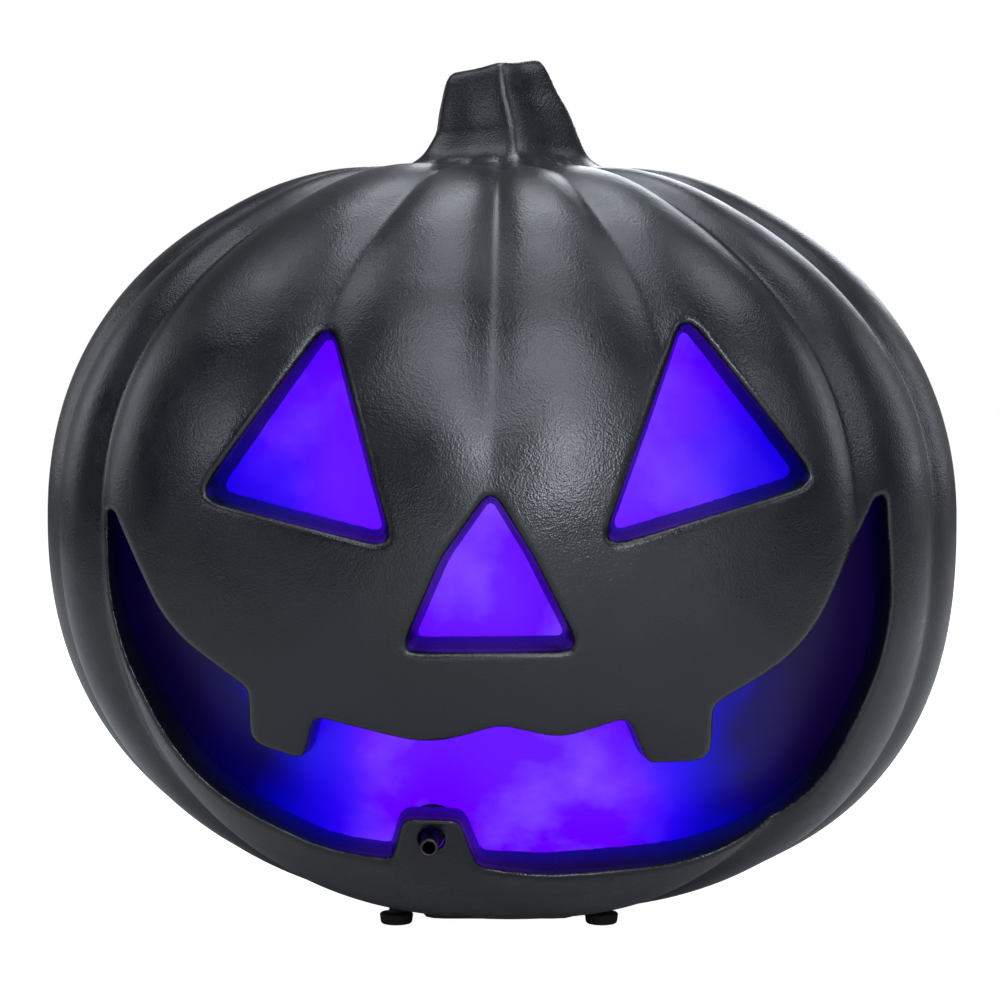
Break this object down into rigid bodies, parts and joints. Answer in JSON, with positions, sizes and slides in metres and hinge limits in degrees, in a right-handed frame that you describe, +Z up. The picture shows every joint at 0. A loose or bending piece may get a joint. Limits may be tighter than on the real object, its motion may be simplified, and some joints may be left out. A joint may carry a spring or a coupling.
{
  "type": "fog machine",
  "caption": "Mains-powered fog machine in a ribbed jack-o'-lantern housing, with a lit diffuser behind the cut-out face, a fog nozzle, a fluid tank and rear controls.",
  "frame": {"origin": "on the floor, under the middle of the object's bounding box", "axes": "+Z up; the face and the nozzle look along -Y and the controls face +Y; +X is to the right of someone who looks at the face"},
  "size_m": [0.257, 0.2018, 0.2447],
  "materials": {
    "shell_black": "moulded black plastic with a fine leather grain, satin sheen",
    "violet_diffuser": "translucent plastic lit from behind in violet and blue",
    "black_plastic": "spark-eroded black plastic",
    "rubber": "matt black rubber",
    "button_rubber": "dark grey silicone",
    "red_plastic": "translucent red plastic",
    "tank_plastic": "natural polyethylene",
    "hose": "clear hose",
    "steel": "zinc-plated steel",
    "nickel_pin": "nickel-plated brass",
    "brass": "turned brass",
    "dark_brass": "blackened brass",
    "copper": "drawn copper",
    "aluminium": "cast aluminium",
    "insulation": "pressed mineral fibre",
    "board": "green circuit board",
    "transformer": "varnished winding with tape",
    "led_clear": "clear epoxy lens",
    "fuse_glass": "glass tube"
  },
  "bodies": {
    "housing": {"front_shell": "shell_black", "rear_shell": "shell_black", "diffuser_panel": "violet_diffuser", "base_plate": "black_plastic", "control_panel": "black_plastic", "mains_inlet": "black_plastic", "inlet_pin_live": "nickel_pin", "inlet_pin_neutral": "nickel_pin", "inlet_pin_earth": "nickel_pin", "switch_bezel": "black_plastic", "ready_lamp": "red_plastic", "fluid_tank": "tank_plastic", "suction_hose": "hose", "pump_body": "aluminium", "pump_spring": "steel", "pump_inlet": "brass", "feed_pipe": "copper", "heater_block": "aluminium", "heater_insulation": "insulation", "nozzle": "dark_brass", "chassis": "steel", "led_board": "board", "led_bracket": "steel", "control_board": "board", "transformer": "transformer", "relay": "black_plastic", "foot_front_left": "rubber", "foot_front_right": "rubber", "foot_rear_left": "rubber", "foot_rear_right": "rubber", "base_screw_1": "steel", "shell_screw_1": "steel", "panel_screw_1": "steel", "base_screw_2": "steel", "shell_screw_2": "steel", "panel_screw_2": "steel", "base_screw_3": "steel", "shell_screw_3": "steel", "panel_screw_3": "steel", "base_screw_4": "steel", "shell_screw_4": "steel", "panel_screw_4": "steel", "led_1": "led_clear", "led_2": "led_clear", "led_3": "led_clear", "led_4": "led_clear", "led_5": "led_clear", "led_6": "led_clear"},
    "cap_seal": {"cap_seal": "rubber"},
    "filler_cap": {"filler_cap": "black_plastic"},
    "fuse_drawer": {"fuse_drawer": "black_plastic", "fuse": "fuse_glass"},
    "switch_rocker": {"switch_rocker": "red_plastic"},
    "fog_button": {"fog_button": "button_rubber"},
    "light_button": {"light_button": "button_rubber"},
    "pump_plunger": {"pump_plunger": "steel"}
  },
  "joints": [
    {"name": "cap_lift", "type": "slide", "parent": "housing", "child": "cap_seal", "axis": [0, 0, 1], "range_m": [0, 0.06]},
    {"name": "cap_turn", "type": "hinge", "parent": "cap_seal", "child": "filler_cap", "pos_m": [-0.00029, 0.06016, 0.194], "axis": [0, 0, 1], "range_deg": [0, 360]},
    {"name": "fuse_drawer_slide", "type": "slide", "parent": "housing", "child": "fuse_drawer", "axis": [0, 1, 0], "range_m": [0, 0.022]},
    {"name": "power_rocker", "type": "hinge", "parent": "housing", "child": "switch_rocker", "pos_m": [0.00871, 0.09606, 0.094], "axis": [1, 0, 0], "range_deg": [-22.9, 0]},
    {"name": "fog_button_press", "type": "slide", "parent": "housing", "child": "fog_button", "axis": [0, -1, 0], "range_m": [0, 0.002], "stiffness_N_per_m": 600},
    {"name": "light_button_press", "type": "slide", "parent": "housing", "child": "light_button", "axis": [0, -1, 0], "range_m": [0, 0.002], "stiffness_N_per_m": 600},
    {"name": "pump_stroke", "type": "slide", "parent": "housing", "child": "pump_plunger", "axis": [0, 1, 0], "range_m": [0, 0.004], "stiffness_N_per_m": 500, "deforming": ["pump_spring"]}
  ]
}
